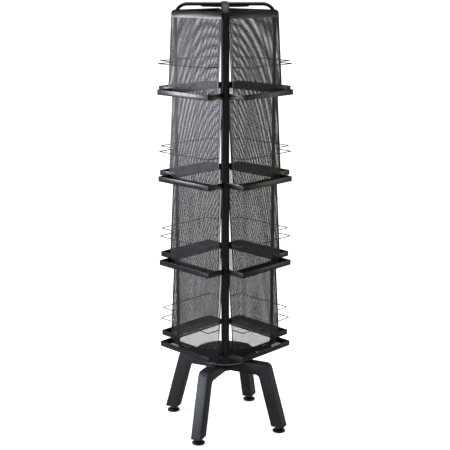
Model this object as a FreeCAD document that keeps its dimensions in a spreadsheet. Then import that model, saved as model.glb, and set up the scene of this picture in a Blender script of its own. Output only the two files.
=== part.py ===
import FreeCAD, Part

# Rotating display rack: a four-tier, four-sided literature tower on a four-legged base.
#
# Frame: millimetres, +Z up, origin on the floor on the turning axis. The sides of the tower face +X, +Y, -X
# and -Y at rest, and the legs stand turned by "leg_turn" from the side faces.

import math
import os

import Sketcher

DOC = FreeCAD.newDocument("display_rack")

# The driving dimensions, in millimetres, degrees or counts.
DIMENSIONS = [
    ("overall_height", 1676.0, "floor to the top of the hoops"),
    ("tier_pitch", 330.5, "height from one tray to the next"),
    ("lip_top_first", 366.0, "top of the lowest tray's lip above the floor"),
    ("lip_height", 20.0, "height of a tray's lip"),
    ("tray_front", 226.0, "axis to the outer face of a tray's front lip"),
    ("tray_half_width", 134.0, "half the width of a tray"),
    ("tray_rear", 145.0, "axis to the rear face of a tray's rear wall"),
    ("rear_wall", 5.0, "height of a tray's rear wall"),
    ("lip_rear", 139.85, "axis to the rear end of a tray's side lips, just clear of the posts"),
    ("tray_sheet", 1.5, "sheet of the lips"),
    ("floor_sheet", 0.6, "sheet that stands for the mesh floor, as heavy as the mesh"),
    ("mesh_half_width", 132.2, "half the width of a mesh back"),
    ("mesh_top_front", 151.0, "axis to the front of a mesh back at its top"),
    ("mesh_foot_front", 173.0, "axis to the front of a mesh back at its foot"),
    ("mesh_sheet", 2.0, "thickness of a mesh back at its edge hem"),
    ("mesh_skin", 0.6, "sheet that stands for the mesh inside the hem, as heavy as the mesh"),
    ("mesh_hem", 4.0, "width of the hem round a mesh back"),
    ("top_mesh_head", 1648.0, "top edge of the highest mesh backs"),
    ("mesh_gap", 0.1, "mesh back's top edge to the tray that it is welded under"),
    ("ear_rear", 143.3, "axis to the rear end of a top mesh back's ears, just clear of the posts"),
    ("ear_height", 16.0, "height of an ear"),
    ("ear_sheet", 2.0, "thickness of an ear"),
    ("ear_side", 128.5, "side distance of an ear's middle plane"),
    ("ear_drop", 36.0, "top mesh back's top edge to the top of its ears"),
    ("rail_wire", 3.6, "diameter of the rail wire"),
    ("rail_rise", 96.0, "lip top to the middle of the rail wire"),
    ("post_circle", 186.0, "axis to the middle of a post"),
    ("tube_width", 28.0, "flat-oval tube, wide way"),
    ("tube_thick", 13.0, "flat-oval tube, narrow way"),
    ("tube_wall", 1.5, "wall of the tube"),
    ("top_bend", 45.0, "centre-line radius of the top bends"),
    ("foot_bend", 38.0, "centre-line radius of the bottom bends"),
    ("arm_height", 306.0, "height of the bottom arms' centre line"),
    ("arm_inner", 24.0, "axis to the inner end of a bottom arm"),
    ("joint_plate_wide", 180.0, "diameter of the top joint plate"),
    ("joint_plate_thick", 3.0, "thickness of the top joint plate"),
    ("disc_wide", 250.0, "diameter of the turntable disc"),
    ("disc_sheet", 3.0, "sheet of the disc"),
    ("disc_rim", 9.5, "depth of the disc's rim"),
    ("screw_near", 41.0, "axis to the inner disc screws"),
    ("screw_far", 69.0, "axis to the outer disc screws"),
    ("screw_shank", 5.0, "disc screw, shank diameter"),
    ("screw_head", 9.5, "disc screw, head diameter"),
    ("screw_rise", 2.8, "disc screw, head height"),
    ("screw_fit", 0.1, "hole radius less screw or bolt radius"),
    ("ball_circle", 163.0, "diameter of the circle of balls"),
    ("ball_wide", 8.0, "diameter of a ball"),
    ("ball_count", 36.0, "number of balls"),
    ("ball_gap", 0.3, "groove radius less ball radius"),
    ("ball_height", 287.9, "height of the balls' centres"),
    ("race_outer", 90.0, "outer radius of the bearing races"),
    ("race_inner", 74.0, "inner radius of the bearing races"),
    ("race_part", 3.0, "free height between the races"),
    ("flange_outer", 106.0, "radius of the lower bearing plate's flange"),
    ("flange_sheet", 2.0, "thickness of that flange"),
    ("hub_wide", 200.0, "diameter of the hub plate"),
    ("hub_sheet", 4.0, "thickness of the hub plate"),
    ("pivot_wide", 12.0, "diameter of the pivot bolt"),
    ("pivot_fit", 0.05, "hole radius less pivot radius"),
    ("pivot_flats", 18.0, "pivot bolt and nut, across flats"),
    ("washer_wide", 26.0, "diameter of the pivot washer"),
    ("washer_sheet", 2.0, "thickness of the pivot washer"),
    ("clamp_wide", 60.0, "diameter of the hub washer"),
    ("leg_top", 275.0, "top of the legs' arms"),
    ("leg_depth", 47.0, "depth of an arm, top to underside"),
    ("leg_width", 42.0, "width of a leg across its sides"),
    ("leg_bottom", 22.0, "underside of a leg above the floor"),
    ("leg_inner", 24.0, "axis to the inner end of an arm"),
    ("leg_out", 264.5, "axis to the outer edge of a leg at its underside"),
    ("leg_lean", 15.5, "lean of a leg from upright"),
    ("leg_thick", 50.0, "thickness of a leg across its outer and inner faces"),
    ("leg_wall", 2.5, "sheet of a leg"),
    ("leg_plug", 12.0, "thickness of the threaded end of a leg"),
    ("leg_shoulder", 24.0, "outer radius of a leg's shoulder"),
    ("leg_crook", 16.0, "radius of a leg's inner corner"),
    ("leg_turn", 18.7, "legs turned from the side faces at rest"),
    ("hub_bolt_near", 46.0, "axis to the inner hub bolts"),
    ("hub_bolt_far", 80.0, "axis to the outer hub bolts"),
    ("hub_bolt_wide", 8.0, "diameter of a hub bolt"),
    ("hub_bolt_flats", 13.0, "hub bolt's head across flats"),
    ("hub_bolt_head", 5.3, "hub bolt's head height"),
    ("foot_circle", 238.0, "axis to the middle of a glide"),
    ("pad_wide", 50.0, "diameter of a glide pad"),
    ("pad_edge", 5.0, "height of a glide pad's edge"),
    ("pad_rise", 12.5, "height of a glide pad's neck top"),
    ("pad_neck", 9.0, "radius of a glide pad's neck"),
    ("socket_depth", 6.5, "depth of the socket in a glide pad"),
    ("socket_wide", 9.0, "diameter of the stem's end in the socket"),
    ("stem_wide", 10.0, "diameter of the threaded stem"),
    ("stem_fit", 0.05, "hole radius less stem radius"),
    ("stem_collar", 5.0, "height of the stem's hexagon"),
    ("stem_flats", 14.0, "stem's hexagon across flats"),
    ("stem_top", 56.0, "top of the stem above the floor"),
]

SHEET = DOC.addObject("Spreadsheet::Sheet", "Sizes")
for row, (alias, value, meaning) in enumerate(DIMENSIONS, start=1):
    SHEET.set(f"A{row}", meaning)
    SHEET.set(f"B{row}", str(value))
    SHEET.setAlias(f"B{row}", alias)
DOC.recompute()

TIERS = 4
SIDES = 4
MM = FreeCAD.Vector
UP = MM(0, 0, 1)

parts = []


def size(expression):
    """The value of an expression in the sheet's names."""
    value = SHEET.evalExpression(expression)
    return float(getattr(value, "Value", value))


def in_sheet(expression):
    """The same expression, as another object has to write it."""
    names = sorted((alias for alias, _, _ in DIMENSIONS), key=len, reverse=True)
    out = ""
    rest = expression
    while rest:
        found = next((name for name in names if rest.startswith(name)), None)
        if found and not (out and (out[-1].isalnum() or out[-1] == "_")):
            out += "Sizes." + found
            rest = rest[len(found):]
        else:
            out += rest[0]
            rest = rest[1:]
    return out


def bind(thing, prop, expression):
    thing.setExpression(prop, in_sheet(expression))


def keep(thing, label, placement=None):
    """Names a finished sub-part, which is then written to parts/LABEL.step."""
    thing.Label = label
    if placement is not None:
        thing.Placement = placement
    parts.append(thing)
    return thing


def turned(degrees, base=None):
    return FreeCAD.Placement(base or MM(0, 0, 0), FreeCAD.Rotation(UP, degrees))


# ---------------------------------------------------------------- sketches


def new_sketch(body, name, role, rise="0"):
    """A sketch on one of the body's own planes, lifted off it by an expression."""
    plane = next(f for f in body.Origin.OriginFeatures if f.Role == role)
    sketch = body.newObject("Sketcher::SketchObject", name)
    sketch.AttachmentSupport = [(plane, "")]
    sketch.MapMode = "FlatFace"
    if rise != "0":
        bind(sketch, "AttachmentOffset.Base.z", rise)
    return sketch


def fix_point(sketch, edge, end, across, up):
    """Holds one end of an edge at two expressions, measured from the origin."""
    for kind, expression in (("DistanceX", across), ("DistanceY", up)):
        index = sketch.addConstraint(Sketcher.Constraint(kind, -1, 1, edge, end, size(expression)))
        bind(sketch, f"Constraints[{index}]", expression)


def polygon(sketch, corners):
    """A closed outline of straight edges, each corner a pair of expressions."""
    points = [MM(size(across), size(up), 0) for across, up in corners]
    first = sketch.GeometryCount
    count = len(points)
    for number, point in enumerate(points):
        sketch.addGeometry(Part.LineSegment(point, points[(number + 1) % count]), False)
    for number in range(count):
        following = first + (number + 1) % count
        sketch.addConstraint(Sketcher.Constraint("Coincident", first + number, 2, following, 1))
    for number, (across, up) in enumerate(corners):
        fix_point(sketch, first + number, 1, across, up)


def circle(sketch, across, up, radius):
    edge = sketch.addGeometry(Part.Circle(MM(size(across), size(up), 0), UP, size(radius)), False)
    fix_point(sketch, edge, 3, across, up)
    index = sketch.addConstraint(Sketcher.Constraint("Radius", edge, size(radius)))
    bind(sketch, f"Constraints[{index}]", radius)


def flat_oval(sketch, half_flat, radius):
    """A slot-shaped outline about the origin, long along the sketch's first axis."""
    flat = size(half_flat)
    round_end = size(radius)
    quarter = math.pi / 2
    right = sketch.addGeometry(
        Part.ArcOfCircle(Part.Circle(MM(flat, 0, 0), UP, round_end), -quarter, quarter), False)
    top = sketch.addGeometry(Part.LineSegment(MM(flat, round_end, 0), MM(-flat, round_end, 0)), False)
    left = sketch.addGeometry(
        Part.ArcOfCircle(Part.Circle(MM(-flat, 0, 0), UP, round_end), quarter, 3 * quarter), False)
    foot = sketch.addGeometry(Part.LineSegment(MM(-flat, -round_end, 0), MM(flat, -round_end, 0)), False)
    for one, one_end, other, other_end in ((right, 2, top, 1), (top, 2, left, 1),
                                           (left, 2, foot, 1), (foot, 2, right, 1)):
        sketch.addConstraint(Sketcher.Constraint("Tangent", one, one_end, other, other_end))
    sketch.addConstraint(Sketcher.Constraint("Symmetric", right, 3, left, 3, -1, 1))
    fix_point(sketch, right, 3, half_flat, "0")
    index = sketch.addConstraint(Sketcher.Constraint("Radius", right, round_end))
    bind(sketch, f"Constraints[{index}]", radius)


def bent_line(sketch, corners, bends):
    """An open path of upright and level runs, joined by tangent arcs at its inner corners."""
    points = [MM(size(across), size(up), 0) for across, up in corners]
    last = len(points) - 1
    starts = [points[0]]
    ends = []
    centres = []
    for number in range(1, last):
        radius = size(bends[number - 1])
        into = (points[number] - points[number - 1]).normalize()
        out_of = (points[number + 1] - points[number]).normalize()
        ends.append(points[number] - into * radius)
        starts.append(points[number] + out_of * radius)
        centres.append((points[number] - into * radius + out_of * radius, into, out_of, radius))
    ends.append(points[last])
    runs = []
    for start, end in zip(starts, ends):
        runs.append(sketch.addGeometry(Part.LineSegment(start, end), False))
    for number, (centre, into, out_of, radius) in enumerate(centres):
        middle = centre + (into - out_of).normalize() * radius
        arc = sketch.addGeometry(Part.Arc(ends[number], middle, starts[number + 1]), False)
        begins = (sketch.getPoint(arc, 1) - ends[number]).Length < 1e-6
        near, far = (1, 2) if begins else (2, 1)
        sketch.addConstraint(Sketcher.Constraint("Tangent", runs[number], 2, arc, near))
        sketch.addConstraint(Sketcher.Constraint("Tangent", arc, far, runs[number + 1], 1))
        index = sketch.addConstraint(Sketcher.Constraint("Radius", arc, radius))
        bind(sketch, f"Constraints[{index}]", bends[number])
    for number, run in enumerate(runs):
        level = abs(starts[number].y - ends[number].y) < 1e-6
        across, up = corners[number]
        kind, datum, value = ("DistanceY", up, points[number].y) if level else (
            "DistanceX", across, points[number].x)
        index = sketch.addConstraint(Sketcher.Constraint(kind, -1, 1, run, 1, value))
        bind(sketch, f"Constraints[{index}]", datum)
    first_across, _ = corners[0]
    last_across, _ = corners[last]
    for run, end, across in ((runs[0], 1, first_across), (runs[-1], 2, last_across)):
        index = sketch.addConstraint(Sketcher.Constraint("DistanceX", -1, 1, run, end, size(across)))
        bind(sketch, f"Constraints[{index}]", across)


# ---------------------------------------------------------------- features


def new_body(name):
    return DOC.addObject("PartDesign::Body", name)


def pad(body, sketch, length, both_ways=False, downwards=False):
    feature = body.newObject("PartDesign::Pad", "Pad")
    feature.Profile = sketch
    bind(feature, "Length", length)
    feature.Midplane = both_ways
    feature.Reversed = downwards
    return feature


def pocket(body, sketch, length, both_ways=False, upwards=False):
    feature = body.newObject("PartDesign::Pocket", "Pocket")
    feature.Profile = sketch
    bind(feature, "Length", length)
    feature.Midplane = both_ways
    feature.Reversed = upwards
    return feature


def spin(body, sketch):
    """Turns a profile, drawn on the XZ plane, a full turn about the body's Z axis."""
    feature = body.newObject("PartDesign::Revolution", "Spin")
    feature.Profile = sketch
    feature.ReferenceAxis = (sketch, ["V_Axis"])
    feature.Angle = 360.0
    return feature


def turned_ring(name, corners):
    """A piece of revolution from its half section: pairs of radius and height."""
    body = new_body(name)
    sketch = new_sketch(body, "Section", "XZ_Plane")
    polygon(sketch, corners)
    spin(body, sketch)
    return body


def edges_at(shape, points, reach=0.6):
    """The names of the edges whose middles lie near the given points."""
    names = []
    for number, edge in enumerate(shape.Edges, start=1):
        middle = edge.valueAt((edge.FirstParameter + edge.LastParameter) / 2)
        if any((middle - point).Length < reach for point in points):
            names.append(f"Edge{number}")
    return names


def soften(body, kind, base, points, amount):
    """Rounds or chamfers the edges of a feature that pass the given points."""
    DOC.recompute()
    feature = body.newObject(f"PartDesign::{kind}", kind)
    feature.Base = (base, edges_at(base.Shape, points))
    bind(feature, "Radius" if kind == "Fillet" else "Size", amount)
    return feature


def cylinder(name, radius, height, base, up=UP):
    """A plain round bar from its base point, along a direction."""
    bar = DOC.addObject("Part::Cylinder", name)
    bind(bar, "Radius", radius)
    bind(bar, "Height", height)
    bar.Placement = FreeCAD.Placement(base, FreeCAD.Rotation(UP, up))
    return bar


def hexagon(name, flats, height, base):
    """A six-sided prism, given across its flats."""
    prism = DOC.addObject("Part::Prism", name)
    prism.Polygon = 6
    bind(prism, "Circumradius", f"{flats} / sqrt(3)")
    bind(prism, "Height", height)
    prism.Placement = FreeCAD.Placement(base, FreeCAD.Rotation())
    return prism


def joined(name, shapes):
    whole = DOC.addObject("Part::MultiFuse", name)
    whole.Shapes = shapes
    return whole


def cut(name, base, tool):
    rest = DOC.addObject("Part::Cut", name)
    rest.Base = base
    rest.Tool = tool
    return rest


def group(name, shapes):
    """Identical small pieces kept together as one node of separate solids."""
    together = DOC.addObject("Part::Compound", name)
    together.Links = shapes
    return together


def around(radius, degrees, height):
    angle = math.radians(degrees)
    return MM(radius * math.cos(angle), radius * math.sin(angle), height)


# ---------------------------------------------------------------- the tower's frame

HOOP_TOP = "overall_height - tube_thick / 2"
CORNER = 45.0


def bent_tube(name, corners, bends):
    """A flat-oval tube swept along a path in the body's XZ plane, from its inner bottom end."""
    body = new_body(name)
    path = new_sketch(body, "Path", "XZ_Plane")
    bent_line(path, corners, bends)
    section = new_sketch(body, "Section", "YZ_Plane", "arm_inner")
    flat_oval(section, "(tube_width - tube_thick) / 2", "tube_thick / 2")
    bind(section, "AttachmentOffset.Base.y", "arm_height")
    DOC.recompute()
    feature = body.newObject("PartDesign::AdditivePipe", "Tube")
    feature.Profile = section
    feature.Spine = (path, [])
    feature.Mode = "Standard"
    bore = new_sketch(body, "Bore", "YZ_Plane", "arm_inner")
    flat_oval(bore, "(tube_width - tube_thick) / 2", "tube_thick / 2 - tube_wall")
    bind(bore, "AttachmentOffset.Base.y", "arm_height")
    DOC.recompute()
    hollow = body.newObject("PartDesign::SubtractivePipe", "Hollow")
    hollow.Profile = bore
    hollow.Spine = (path, [])
    hollow.Mode = "Standard"
    return body


def screw_holes(body, sides):
    """Screw holes down through the bottom arms, on the given sides of the axis."""
    holes = new_sketch(body, "ScrewHoles", "XY_Plane", "arm_height + tube_thick")
    for sign in sides:
        for distance in ("screw_near", "screw_far"):
            circle(holes, f"{sign} * {distance}", "0", "screw_shank / 2 + screw_fit")
    pocket(body, holes, "2 * tube_thick")


def frame_hoop():
    """The hoop over the front and back corners, in one piece."""
    corners = [
        ("arm_inner", "arm_height"),
        ("post_circle", "arm_height"),
        ("post_circle", HOOP_TOP),
        ("-post_circle", HOOP_TOP),
        ("-post_circle", "arm_height"),
        ("-arm_inner", "arm_height"),
    ]
    body = bent_tube("Hoop", corners, ["foot_bend", "top_bend", "top_bend", "foot_bend"])
    screw_holes(body, (1, -1))
    return keep(body, "frame_hoop", turned(-CORNER))


def frame_half_hoop(label, degrees):
    """A hoop half whose top arm butts against the whole hoop."""
    corners = [
        ("arm_inner", "arm_height"),
        ("post_circle", "arm_height"),
        ("post_circle", HOOP_TOP),
        ("tube_width / 2", HOOP_TOP),
    ]
    body = bent_tube("HalfHoop", corners, ["foot_bend", "top_bend"])
    screw_holes(body, (1,))
    return keep(body, label, turned(degrees))


def top_joint_plate():
    body = turned_ring("TopPlate", [
        ("0", "overall_height - tube_thick - joint_plate_thick"),
        ("joint_plate_wide / 2", "overall_height - tube_thick - joint_plate_thick"),
        ("joint_plate_wide / 2", "overall_height - tube_thick"),
        ("0", "overall_height - tube_thick"),
    ])
    return keep(body, "top_joint_plate")


DISC_TOP = "arm_height - tube_thick / 2"


def turntable_disc():
    """The pressed disc that the bottom arms are screwed to."""
    hole = "pivot_wide / 2 + pivot_fit"
    edge = "disc_wide / 2"
    body = turned_ring("Disc", [
        (hole, f"{DISC_TOP} - disc_sheet"),
        (f"{edge} - disc_sheet", f"{DISC_TOP} - disc_sheet"),
        (f"{edge} - disc_sheet", f"{DISC_TOP} - disc_rim"),
        (edge, f"{DISC_TOP} - disc_rim"),
        (edge, DISC_TOP),
        (hole, DISC_TOP),
    ])
    holes = new_sketch(body, "ScrewHoles", "XY_Plane", f"{DISC_TOP} + disc_sheet")
    for across, up in ((1, 0), (-1, 0), (0, 1), (0, -1)):
        for distance in ("screw_near", "screw_far"):
            circle(holes, f"{across} * {distance}", f"{up} * {distance}", "screw_shank / 2 + screw_fit")
    pocket(body, holes, "3 * disc_sheet")
    return keep(body, "turntable_disc", turned(CORNER))


def disc_screws():
    """Round-headed screws through the bottom arms and the disc."""
    screws = []
    arm_top = size("arm_height + tube_thick / 2")
    shank = "tube_thick + disc_sheet + 2"
    for side in range(4):
        for distance in ("screw_near", "screw_far"):
            place = around(size(distance), CORNER + 90 * side, arm_top)
            foot = place - UP * size(shank)
            bar = cylinder("Shank", "screw_shank / 2", shank, foot)
            head = DOC.addObject("Part::Cone", "Head")
            bind(head, "Radius1", "screw_head / 2")
            bind(head, "Radius2", "screw_head / 3")
            bind(head, "Height", "screw_rise")
            head.Placement = FreeCAD.Placement(place, FreeCAD.Rotation())
            screws.append(joined("DiscScrew", [bar, head]))
    return keep(group("DiscScrews", screws), "disc_screws")


# ---------------------------------------------------------------- the pockets


def lip_top(tier):
    """Height of a tray's lip top. Tier 1 is the highest."""
    return f"lip_top_first + {TIERS - tier} * tier_pitch"


def mesh_ends(tier):
    """Heights of a mesh back's foot, on its tray's floor, and of its top edge."""
    foot = f"{lip_top(tier)} - lip_height + floor_sheet"
    head = "top_mesh_head" if tier == 1 else f"{lip_top(tier - 1)} - lip_height - mesh_gap"
    return foot, head


def tray(tier, side):
    """A pocket's bottom: a mesh floor in lips that turn up all round, the rear one only a low rib."""
    body = new_body("Tray")
    base = f"{lip_top(tier)} - lip_height"
    lips = new_sketch(body, "Lips", "XY_Plane", base)
    inner_side = "tray_half_width - tray_sheet"
    polygon(lips, [
        ("lip_rear", "-tray_half_width"),
        ("tray_front", "-tray_half_width"),
        ("tray_front", "tray_half_width"),
        ("lip_rear", "tray_half_width"),
        ("lip_rear", inner_side),
        ("tray_front - tray_sheet", inner_side),
        ("tray_front - tray_sheet", f"-({inner_side})"),
        ("lip_rear", f"-({inner_side})"),
    ])
    pad(body, lips, "lip_height")
    rear = new_sketch(body, "RearWall", "XY_Plane", base)
    polygon(rear, [
        ("tray_rear", "-tray_half_width + tray_sheet / 2"),
        ("tray_rear + tray_sheet", "-tray_half_width + tray_sheet / 2"),
        ("tray_rear + tray_sheet", "tray_half_width - tray_sheet / 2"),
        ("tray_rear", "tray_half_width - tray_sheet / 2"),
    ])
    pad(body, rear, "rear_wall")
    floor = new_sketch(body, "Floor", "XY_Plane", base)
    polygon(floor, [
        ("tray_rear", "-tray_half_width + tray_sheet / 2"),
        ("tray_front - tray_sheet / 2", "-tray_half_width + tray_sheet / 2"),
        ("tray_front - tray_sheet / 2", "tray_half_width - tray_sheet / 2"),
        ("tray_rear", "tray_half_width - tray_sheet / 2"),
    ])
    pad(body, floor, "floor_sheet")
    return keep(body, f"tray_tier{tier}_side{side}", turned(90.0 * (side - 1)))


def mesh_back(tier, side):
    """A leaning mesh back on the tray's floor. The highest ones have ears that meet the posts."""
    body = new_body("MeshBack")
    foot, head = mesh_ends(tier)
    profile = new_sketch(body, "Profile", "XZ_Plane")
    polygon(profile, [
        ("mesh_foot_front - mesh_sheet", foot),
        ("mesh_foot_front", foot),
        ("mesh_top_front", head),
        ("mesh_top_front - mesh_sheet", head),
    ])
    pad(body, profile, "2 * mesh_half_width", both_ways=True)
    lean = f"mesh_hem * (mesh_foot_front - mesh_top_front) / ({head} - ({foot}))"
    hollow = new_sketch(body, "Hollow", "XZ_Plane")
    polygon(hollow, [
        ("mesh_top_front - mesh_sheet - 5", f"{foot} + mesh_hem"),
        (f"mesh_foot_front - mesh_skin - {lean}", f"{foot} + mesh_hem"),
        (f"mesh_top_front - mesh_skin + {lean}", f"{head} - mesh_hem"),
        ("mesh_top_front - mesh_sheet - 5", f"{head} - mesh_hem"),
    ])
    pocket(body, hollow, "2 * (mesh_half_width - mesh_hem)", both_ways=True)
    if tier == 1:
        ears = new_sketch(body, "Ears", "XY_Plane", f"{head} - ear_drop - ear_height")
        for sign in (1, -1):
            near = f"{sign} * (ear_side - ear_sheet / 2)"
            far = f"{sign} * (ear_side + ear_sheet / 2)"
            polygon(ears, [
                ("ear_rear", near),
                ("mesh_top_front + 2", near),
                ("mesh_top_front + 2", far),
                ("ear_rear", far),
            ])
        pad(body, ears, "ear_height")
    return keep(body, f"mesh_back_tier{tier}_side{side}", turned(90.0 * (side - 1)))


def wire_rails():
    """A thin wire rail round the front of each pocket: a front wire and two side wires."""
    wires = []
    radius = "rail_wire / 2"
    front = size("tray_front - rail_wire / 2")
    side_line = size("tray_half_width - rail_wire / 2")
    for tier in range(1, TIERS + 1):
        height = size(f"{lip_top(tier)} + rail_rise")
        foot, head = (size(end) for end in mesh_ends(tier))
        lean = size("mesh_foot_front - mesh_top_front") / (head - foot)
        back = size("mesh_foot_front") - lean * (height - foot) + 0.3
        for side in range(SIDES):
            turn = turned(90.0 * side)
            cross = cylinder("RailFront", radius, "2 * tray_half_width", MM(0, 0, 0))
            cross.Placement = turn.multiply(FreeCAD.Placement(
                MM(front, -size("tray_half_width"), height), FreeCAD.Rotation(UP, MM(0, 1, 0))))
            wires.append(cross)
            for sign in (1, -1):
                arm = DOC.addObject("Part::Cylinder", "RailSide")
                bind(arm, "Radius", radius)
                arm.Height = front - size(radius) - back - 0.05
                arm.Placement = turn.multiply(FreeCAD.Placement(
                    MM(back, sign * side_line, height), FreeCAD.Rotation(UP, MM(1, 0, 0))))
                wires.append(arm)
    return keep(group("WireRails", wires), "wire_rails")


# ---------------------------------------------------------------- the bearing and the base

GROOVE = "(ball_wide / 2 + ball_gap)"


def bearing_plate(name, low, high, groove_up, flange=None):
    """A ring with a ball groove in its upper or lower face."""
    corners = [("race_inner", low), ("race_outer", low), ("race_outer", high), ("race_inner", high)]
    if flange:
        corners = [
            ("race_inner", low),
            ("flange_outer", low),
            ("flange_outer", f"{low} + {flange}"),
            ("race_outer", f"{low} + {flange}"),
            ("race_outer", high),
            ("race_inner", high),
        ]
    ring = turned_ring(name, corners)
    groove = DOC.addObject("Part::Torus", name + "Groove")
    bind(groove, "Radius1", "ball_circle / 2")
    bind(groove, "Radius2", GROOVE)
    groove.Placement = FreeCAD.Placement(MM(0, 0, size("ball_height")), FreeCAD.Rotation())
    return cut(name + "Grooved", ring, groove)


def lower_bearing_plate():
    low = "leg_top + hub_sheet"
    high = "ball_height - race_part / 2"
    return keep(bearing_plate("LowerRace", low, high, True, "flange_sheet"), "lower_bearing_plate")


def upper_bearing_plate():
    low = "ball_height + race_part / 2"
    high = f"{DISC_TOP} - disc_sheet"
    return keep(bearing_plate("UpperRace", low, high, False), "upper_bearing_plate")


def bearing_balls():
    balls = []
    count = int(size("ball_count"))
    for number in range(count):
        ball = DOC.addObject("Part::Sphere", "Ball")
        bind(ball, "Radius", "ball_wide / 2")
        place = around(size("ball_circle / 2"), 360.0 * number / count, size("ball_height"))
        ball.Placement = FreeCAD.Placement(place, FreeCAD.Rotation())
        balls.append(ball)
    return keep(group("BearingBalls", balls), "bearing_balls")


def hub_plate():
    """The round plate that joins the four legs."""
    body = turned_ring("HubPlate", [
        ("pivot_wide / 2 + screw_fit", "leg_top"),
        ("hub_wide / 2", "leg_top"),
        ("hub_wide / 2", "leg_top + hub_sheet"),
        ("pivot_wide / 2 + screw_fit", "leg_top + hub_sheet"),
    ])
    holes = new_sketch(body, "BoltHoles", "XY_Plane", "leg_top + 2 * hub_sheet")
    for across, up in ((1, 0), (-1, 0), (0, 1), (0, -1)):
        for distance in ("hub_bolt_near", "hub_bolt_far"):
            circle(holes, f"{across} * {distance}", f"{up} * {distance}", "hub_bolt_wide / 2 + screw_fit")
    pocket(body, holes, "3 * hub_sheet")
    return keep(body, "hub_plate", turned(size("leg_turn")))


LEG_SIDES = ("a", "b", "c", "d")


def leg_angle(number):
    return size("leg_turn") + 90.0 * number


def leg(number):
    """A box leg: a level arm, a round shoulder and a leaning leg with a threaded end."""
    body = new_body("Leg")
    under = "(leg_top - leg_depth)"
    lean = "tan(leg_lean)"
    thick = "leg_thick / cos(leg_lean)"
    at_top = f"leg_out - (leg_top - leg_bottom) * {lean}"
    at_under = f"leg_out - ({under} - leg_bottom) * {lean} - {thick}"
    outline = new_sketch(body, "Outline", "XZ_Plane")
    polygon(outline, [
        ("leg_inner", under),
        (at_under, under),
        (f"leg_out - {thick}", "leg_bottom"),
        ("leg_out", "leg_bottom"),
        (at_top, "leg_top"),
        ("leg_inner", "leg_top"),
    ])
    solid = pad(body, outline, "leg_width", both_ways=True)
    shoulder = soften(body, "Fillet", solid, [MM(size(at_top), 0, size("leg_top"))], "leg_shoulder")
    soften(body, "Fillet", shoulder, [MM(size(at_under), 0, size(under))], "leg_crook")
    cavity = new_sketch(body, "Cavity", "XZ_Plane")
    slant = "leg_wall / cos(leg_lean)"
    floor = "leg_bottom + leg_plug"
    polygon(cavity, [
        ("leg_inner - 1", f"{under} + leg_wall"),
        (f"{at_under} + leg_wall * (1 + {lean})", f"{under} + leg_wall"),
        (f"leg_out - {thick} - leg_plug * {lean} + {slant}", floor),
        (f"leg_out - leg_plug * {lean} - {slant}", floor),
        (f"{at_top} - 0.4 * leg_shoulder + 0.85 * leg_shoulder * {lean}", "leg_top - leg_shoulder * 0.85"),
        (f"{at_top} - leg_shoulder * 0.85", "leg_top - leg_wall"),
        ("leg_inner - 1", "leg_top - leg_wall"),
    ])
    pocket(body, cavity, "leg_width - 2 * leg_wall", both_ways=True)
    bolts = new_sketch(body, "BoltHoles", "XY_Plane", "leg_top + 5")
    for distance in ("hub_bolt_near", "hub_bolt_far"):
        circle(bolts, distance, "0", "hub_bolt_wide / 2 + screw_fit")
    pocket(body, bolts, "leg_depth + 10")
    thread = new_sketch(body, "Thread", "XY_Plane", "leg_bottom - 1")
    circle(thread, "foot_circle", "0", "stem_wide / 2 + stem_fit")
    pocket(body, thread, "leg_plug + 2", upwards=True)
    return keep(body, f"leg_{LEG_SIDES[number]}", turned(leg_angle(number)))


def hub_bolts():
    """Hexagon bolts up through each arm into the hub plate."""
    bolts = []
    under = size("leg_top - leg_depth")
    for number in range(4):
        for distance in ("hub_bolt_near", "hub_bolt_far"):
            place = around(size(distance), leg_angle(number), under)
            shank = cylinder("Shank", "hub_bolt_wide / 2", "leg_depth + hub_sheet", place)
            head = hexagon("Head", "hub_bolt_flats", "hub_bolt_head", place - UP * size("hub_bolt_head"))
            bolts.append(joined("HubBolt", [shank, head]))
    return keep(group("HubBolts", bolts), "hub_bolts")


def pivot():
    """The centre bolt, its nut and its two washers."""
    under = size("leg_top - leg_depth")
    clamp_sheet = size("hub_sheet")
    head_height = size("pivot_flats * 0.42")
    nut_height = size("pivot_wide * 0.8")
    washer_base = size(DISC_TOP) + 0.2
    nut_base = washer_base + size("washer_sheet")
    shank_length = nut_base + nut_height + 3 - (under - clamp_sheet)
    shank = cylinder("PivotShank", "pivot_wide / 2", str(shank_length), MM(0, 0, under - clamp_sheet))
    head = hexagon("PivotHead", "pivot_flats", str(head_height), MM(0, 0, under - clamp_sheet - head_height))
    keep(joined("PivotBolt", [shank, head]), "pivot_bolt")
    nut = hexagon("NutBlank", "pivot_flats", str(nut_height), MM(0, 0, nut_base))
    nut_hole = cylinder("NutHole", "pivot_wide / 2 + pivot_fit", str(nut_height + 2), MM(0, 0, nut_base - 1))
    keep(cut("PivotNut", nut, nut_hole), "pivot_nut")
    keep(turned_ring("PivotWasher", [
        ("pivot_wide / 2 + screw_fit", f"{DISC_TOP} + 0.2"),
        ("washer_wide / 2", f"{DISC_TOP} + 0.2"),
        ("washer_wide / 2", f"{DISC_TOP} + 0.2 + washer_sheet"),
        ("pivot_wide / 2 + screw_fit", f"{DISC_TOP} + 0.2 + washer_sheet"),
    ]), "pivot_washer")
    keep(turned_ring("HubWasher", [
        ("pivot_wide / 2 + screw_fit", "leg_top - leg_depth - hub_sheet"),
        ("clamp_wide / 2", "leg_top - leg_depth - hub_sheet"),
        ("clamp_wide / 2", "leg_top - leg_depth"),
        ("pivot_wide / 2 + screw_fit", "leg_top - leg_depth"),
    ]), "hub_washer")


# ---------------------------------------------------------------- the levelling glides


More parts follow.
